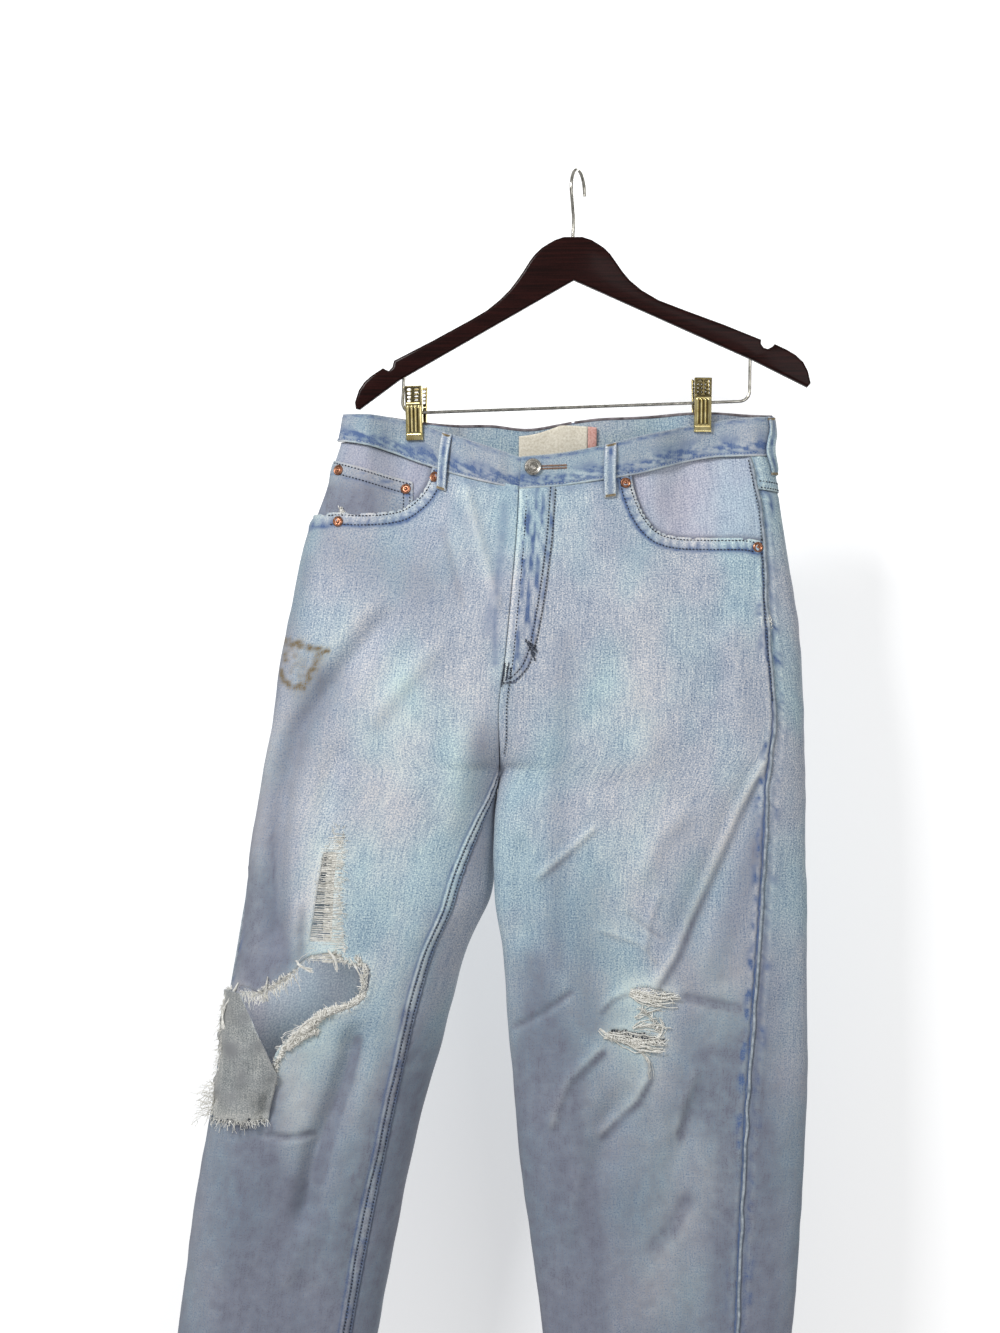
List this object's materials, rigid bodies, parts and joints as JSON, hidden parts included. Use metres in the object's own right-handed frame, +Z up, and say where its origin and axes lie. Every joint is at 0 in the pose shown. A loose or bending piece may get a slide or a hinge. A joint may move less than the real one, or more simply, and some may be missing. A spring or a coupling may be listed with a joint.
{
  "type": "ripped jeans on a clip hanger",
  "caption": "Straight light-wash denim jeans with torn knees, hung by the waistband from the clips of a wooden hanger.",
  "frame": {"origin": "inside top of the hanger's hook, where it rests on a rail", "axes": "+Z up; +Y to the back of the jeans, away from the fly; +X to the wearer's left"},
  "size_m": [0.6331, 0.1129, 1.3754],
  "materials": {
    "denim": "washed light blue denim, right side out",
    "denim_inside": "wrong side of the denim",
    "label": "plain beige woven label",
    "label_red": "faded red label end",
    "copper": "dull copper rivets",
    "nickel": "worn nickel button",
    "brass": "bright pressed brass",
    "steel": "bright wire",
    "wood": "dark brown gloss lacquer"
  },
  "bodies": {
    "root": {"front_left": "denim", "front_right": "denim", "back_left": "denim", "back_right": "denim", "yoke_left": "denim", "yoke_right": "denim", "waistband": "denim", "fly": "denim", "pocket_facing_left": "denim", "pocket_facing_right": "denim", "coin_pocket": "denim", "back_pocket_left": "denim", "back_pocket_right": "denim", "belt_loop_front_left": "denim", "belt_loop_front_right": "denim", "belt_loop_side_left": "denim", "belt_loop_side_right": "denim", "belt_loop_back": "denim", "hem_left": "denim", "hem_right": "denim", "torn_flap": "denim_inside", "label_cloth": "label", "label_end": "label_red", "rivet_pocket_left": "copper", "rivet_pocket_right": "copper", "rivet_coin_inner": "copper", "rivet_coin_outer": "copper", "rivet_side_left": "copper", "rivet_side_right": "copper", "button": "nickel", "clip_left_front": "brass", "clip_left_back": "brass", "clip_right_front": "brass", "clip_right_back": "brass", "hanger_hook": "steel", "hanger_bar": "steel", "clip_left_spring": "steel", "clip_right_spring": "steel", "hanger_wood": "wood"}
  },
  "joints": []
}
